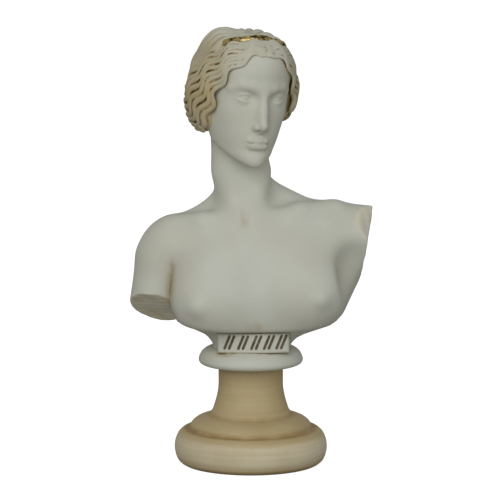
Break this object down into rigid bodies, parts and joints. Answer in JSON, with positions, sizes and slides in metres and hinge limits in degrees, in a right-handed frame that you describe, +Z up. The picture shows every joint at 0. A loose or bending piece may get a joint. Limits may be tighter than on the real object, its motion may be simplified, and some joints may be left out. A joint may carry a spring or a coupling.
{
  "type": "classical goddess bust",
  "caption": "Souvenir bust of a classical goddess with waved hair, broken arms and a small front tablet, standing on a turned stone socle.",
  "frame": {"origin": "middle of the flat underside of the socle, on the surface that the bust stands on", "axes": "+Z up along the socle's turning axis, -Y towards the front of the shoulders and the tablet, +X to the viewer's right; the head is turned towards +X"},
  "size_m": [0.1266, 0.08, 0.2286],
  "materials": {
    "cast_stone": "off-white cast stone, softly polished, with a thin brown wash left in the creases and gilding on the hair band",
    "turned_stone": "warm beige stone, lathe turned, low sheen, with brown left in the groove"
  },
  "bodies": {
    "root": {"bust": "cast_stone", "socle": "turned_stone"}
  },
  "joints": []
}
